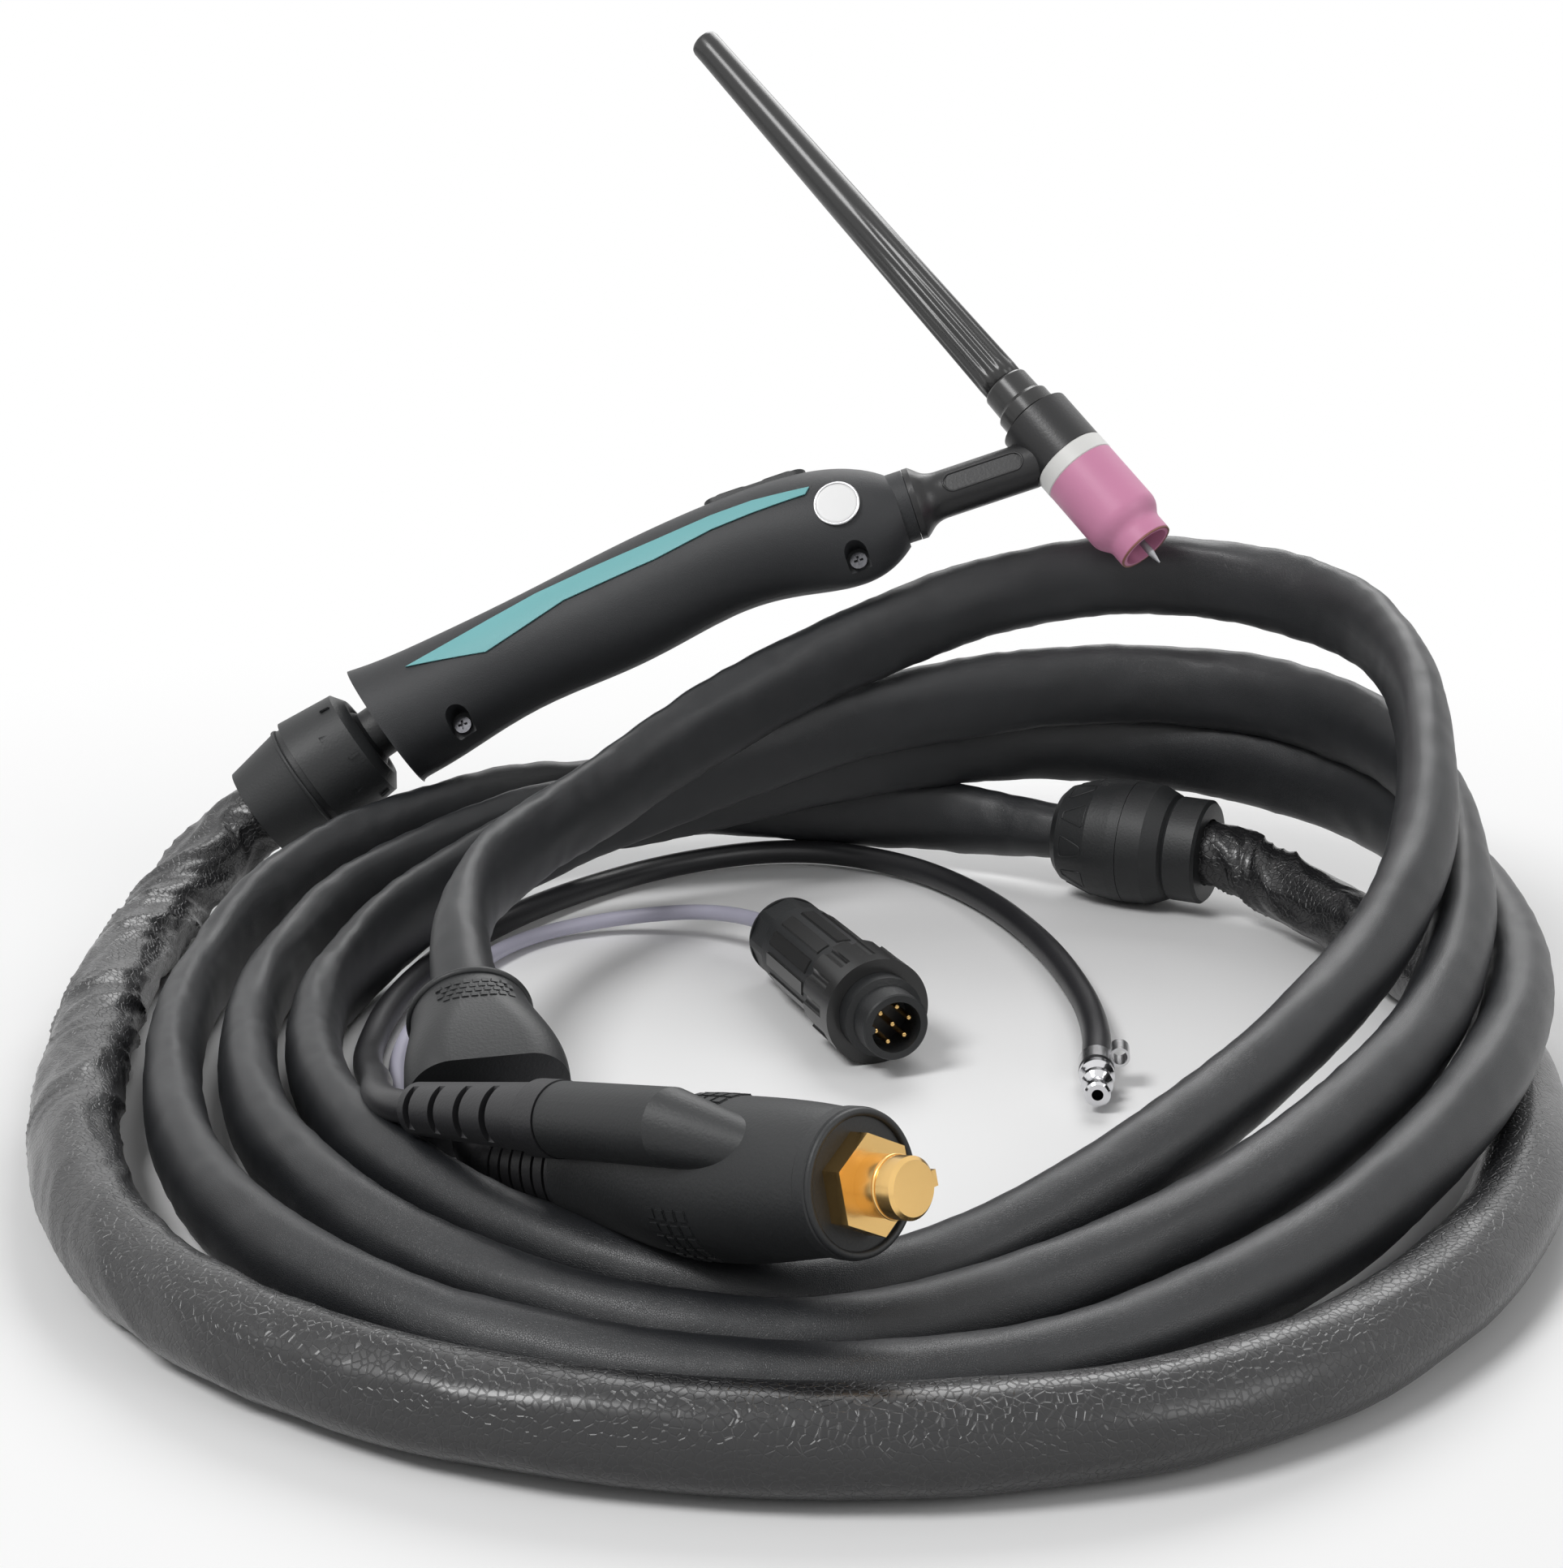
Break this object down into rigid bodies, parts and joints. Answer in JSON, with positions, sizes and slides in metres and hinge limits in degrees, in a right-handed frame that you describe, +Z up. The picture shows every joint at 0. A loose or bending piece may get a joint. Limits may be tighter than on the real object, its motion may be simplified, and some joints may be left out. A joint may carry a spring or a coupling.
{
  "type": "tig welding torch",
  "caption": "Angled gas-cooled arc welding torch with a long back cap, two-button handle, swivel, leather and rubber cable sleeves, power plug, gas nipple and control plug.",
  "frame": {"origin": "on the axis of the machine plug's contact pin, in front of its hexagon", "axes": "+Z up from the floor the coil rests on, +X along the handle towards the head, +Y away from the plug towards the handle"},
  "size_m": [0.4258, 0.5095, 0.2888],
  "materials": {
    "handle_black": "matt, lightly speckled",
    "inlay_teal": "satin",
    "badge_white": "glossy",
    "button_black": "satin",
    "board_green": "satin",
    "head_black": "satin moulded silicone",
    "ptfe_white": "satin",
    "copper_brass": "machined",
    "tungsten": "ground",
    "ceramic_pink": "unglazed ceramic",
    "gloss_black": "glossy",
    "rubber_black": "satin",
    "sleeve_rubber": "satin",
    "plastic_black": "matt",
    "leather_black": "grained, glossy",
    "cable_lilac": "satin",
    "gold_brass": "plated",
    "chrome": "bright",
    "steel": "bright"
  },
  "bodies": {
    "cable": {"ring_nut": "plastic_black", "clamp_cone": "plastic_black", "leather_sheath": "leather_black", "sleeve_turn_1a": "sleeve_rubber", "sleeve_turn_1b": "sleeve_rubber", "sleeve_turn_2a": "sleeve_rubber", "sleeve_turn_2b": "sleeve_rubber", "sleeve_turn_3": "sleeve_rubber", "sleeve_arch": "sleeve_rubber", "gas_hose": "rubber_black", "control_cable": "cable_lilac", "power_cable": "rubber_black", "coupling_sleeve_half": "plastic_black", "coupling_leather_half": "plastic_black", "splitter_top": "plastic_black", "splitter_bottom": "plastic_black", "plug_shell_upper": "plastic_black", "plug_shell_lower": "plastic_black", "plug_flange": "plastic_black", "contact_pin": "gold_brass", "ribbed_boot": "rubber_black", "slotted_boot": "rubber_black", "gas_nipple": "chrome", "ear_clamp": "steel", "round_plug_body": "gloss_black", "pin_insert": "gloss_black", "contact_pins": "gold_brass", "cable_nut": "plastic_black"},
    "torch": {"insulator_ring": "ptfe_white", "head_core": "copper_brass", "head_body": "head_black", "gas_power_tube": "copper_brass", "collet_body": "copper_brass", "collet": "copper_brass", "electrode": "tungsten", "inlay_left": "inlay_teal", "inlay_right": "inlay_teal", "handle_shell_left": "handle_black", "handle_shell_right": "handle_black", "badge_left": "badge_white", "badge_right": "badge_white", "handle_screws": "steel", "trigger_frame": "button_black", "switch_board": "board_green", "micro_switches": "button_black", "swivel_ball": "plastic_black"},
    "nozzle": {"ceramic_nozzle": "ceramic_pink"},
    "cap": {"cap_collar": "gloss_black", "back_cap": "gloss_black", "cap_oring": "rubber_black"},
    "front_push": {"front_button": "button_black"},
    "rear_push": {"rear_button": "button_black"},
    "plug_ring": {"coupling_ring": "gloss_black"}
  },
  "joints": [
    {"name": "head_lift", "type": "hinge", "parent": "cable", "child": "torch", "pos_m": [-0.16637, 0.34327, -0.00024], "axis": [-0.1623, -0.8397, 0.5182], "range_deg": [0, 12]},
    {"name": "nozzle_screw", "type": "hinge", "parent": "torch", "child": "nozzle", "pos_m": [0.0734, 0.3594, 0.101], "axis": [-0.5816, 0.5057, 0.6372], "continuous": true},
    {"name": "cap_screw", "type": "hinge", "parent": "torch", "child": "cap", "pos_m": [0.0734, 0.3594, 0.101], "axis": [-0.5816, 0.5057, 0.6372], "continuous": true},
    {"name": "front_button_press", "type": "slide", "parent": "torch", "child": "front_push", "axis": [-0.274, 0.5429, 0.7939], "range_m": [-0.0015, 0], "stiffness_N_per_m": 800},
    {"name": "rear_button_press", "type": "slide", "parent": "torch", "child": "rear_push", "axis": [-0.274, 0.5429, 0.7939], "range_m": [-0.0015, 0], "stiffness_N_per_m": 800},
    {"name": "ring_turn", "type": "hinge", "parent": "cable", "child": "plug_ring", "pos_m": [0.0127, 0.1815, -0.0363], "axis": [0.3504, -0.9365, 0.012], "continuous": true}
  ]
}
